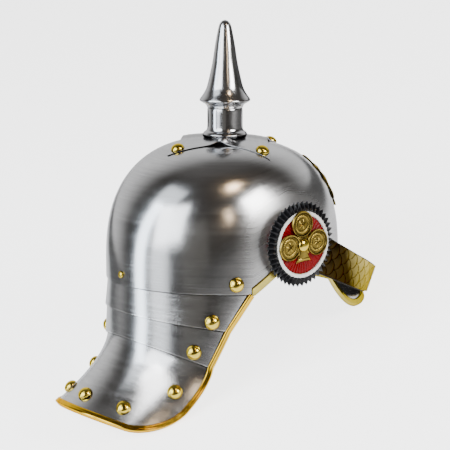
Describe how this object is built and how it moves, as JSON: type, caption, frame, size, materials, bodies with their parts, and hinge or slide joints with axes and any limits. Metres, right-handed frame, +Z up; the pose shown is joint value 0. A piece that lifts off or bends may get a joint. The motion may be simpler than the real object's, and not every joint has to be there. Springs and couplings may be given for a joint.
{
  "type": "spiked steel helmet",
  "caption": "Polished steel parade helmet with a collared spike, overlapping neck plates, visor, brass studs and trim, side cockades and a scaled chin strap.",
  "frame": {"origin": "on the floor under the middle of the helmet's box as it stands on its visor and nape corners", "axes": "+X to the helmet's front, +Y to the wearer's left, +Z up; the helmet stands tipped nose down"},
  "size_m": [0.3648, 0.241, 0.3101],
  "materials": {
    "steel": "satin polished, finely brushed",
    "polished_steel": "bright polished",
    "brass": "polished, slightly aged",
    "black_lacquer": "gloss lacquer",
    "white_lacquer": "semi-gloss lacquer",
    "red_lacquer": "semi-gloss lacquer",
    "leather": "blackened strap leather"
  },
  "bodies": {
    "root": {"skull": "steel", "neck_lame_upper": "steel", "neck_lame_middle": "steel", "neck_guard": "steel", "visor": "steel", "spike_base": "steel", "spike": "polished_steel", "spike_neck": "polished_steel", "cockade_rim_left": "black_lacquer", "cockade_ring_left": "white_lacquer", "cockade_disc_left": "red_lacquer", "cockade_rim_right": "black_lacquer", "cockade_ring_right": "white_lacquer", "cockade_disc_right": "red_lacquer", "neck_trim": "brass", "visor_trim": "brass", "front_plate": "brass", "strap_scales": "brass", "back_rivet": "brass", "guard_stud_back": "brass", "base_stud_front": "brass", "base_stud_left": "brass", "base_stud_back": "brass", "base_stud_right": "brass", "skull_trim_left": "brass", "lame_upper_stud_left": "brass", "lame_middle_stud_left": "brass", "guard_stud_side_left": "brass", "guard_stud_rear_left": "brass", "skull_stud_left": "brass", "trefoil_left": "brass", "cockade_screw_left": "brass", "skull_trim_right": "brass", "lame_upper_stud_right": "brass", "lame_middle_stud_right": "brass", "guard_stud_side_right": "brass", "guard_stud_rear_right": "brass", "skull_stud_right": "brass", "trefoil_right": "brass", "cockade_screw_right": "brass", "strap_leather": "leather"}
  },
  "joints": []
}
